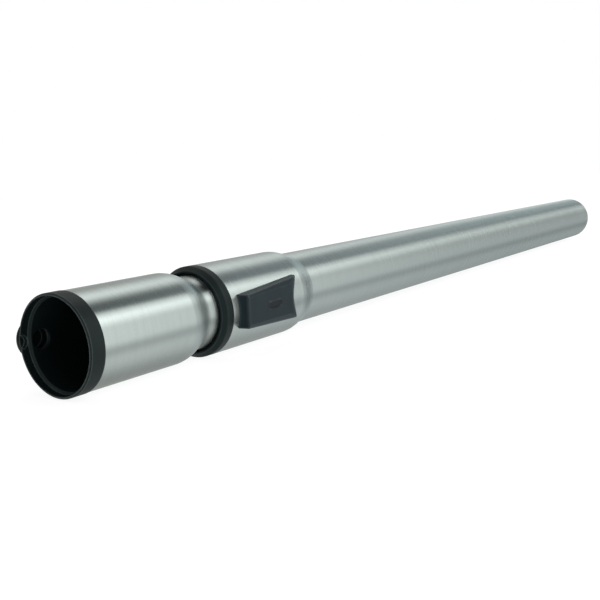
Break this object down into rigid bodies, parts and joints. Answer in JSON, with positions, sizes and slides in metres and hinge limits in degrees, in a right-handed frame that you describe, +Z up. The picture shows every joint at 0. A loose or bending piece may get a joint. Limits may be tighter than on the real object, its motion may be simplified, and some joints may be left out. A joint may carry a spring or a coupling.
{
  "type": "telescopic vacuum wand",
  "caption": "Two-piece telescopic suction wand of satin steel with a moulded handle socket, a sliding length lock and a plain spigot end.",
  "frame": {"origin": "on the wand's axis, where the straight bore of the handle socket begins", "axes": "+X along the wand towards its floor end, -Y through the slider, +Z up with the wand lying on a floor"},
  "size_m": [0.6077, 0.0486, 0.0398],
  "materials": {
    "satin_steel": "satin, brushed round the tube",
    "charcoal_plastic": "fine matt moulding",
    "slate_plastic": "fine matt moulding",
    "guide_plastic": "plain natural acetal",
    "seal_rubber": "soft matt",
    "spring_steel": "bright drawn",
    "hard_steel": "ground"
  },
  "bodies": {
    "upper_tube": {"upper_tube": "satin_steel", "socket_collar": "charcoal_plastic", "tail_guide_front": "guide_plastic", "tail_guide_back": "guide_plastic", "tail_seal": "seal_rubber"},
    "lower_tube": {"lower_tube": "satin_steel", "mouth_collar": "charcoal_plastic", "wiper_seal": "seal_rubber", "guide_sleeve": "guide_plastic", "stop_ring": "seal_rubber", "return_spring_upper": "spring_steel", "return_spring_lower": "spring_steel", "leaf_spring_upper": "spring_steel", "leaf_spring_lower": "spring_steel"},
    "slider": {"slide_button": "slate_plastic", "slide_carriage": "guide_plastic", "ramp_plate": "hard_steel"},
    "lock_pin": {"lock_pin": "hard_steel"}
  },
  "joints": [
    {"name": "telescope", "type": "slide", "parent": "upper_tube", "child": "lower_tube", "axis": [1, 0, 0], "range_m": [0, 0.39]},
    {"name": "slider_push", "type": "slide", "parent": "lower_tube", "child": "slider", "axis": [1, 0, 0], "range_m": [0, 0.0035], "stiffness_N_per_m": 1400, "springref_m": -0.002, "deforming": ["return_spring_upper", "return_spring_lower"]},
    {"name": "pin_lift", "type": "slide", "parent": "lower_tube", "child": "lock_pin", "axis": [0, -1, 0], "range_m": [0, 0.0005]}
  ],
  "couplings": [
    {"joint": "pin_lift", "follows": "slider_push", "ratio": 0.14286}
  ]
}
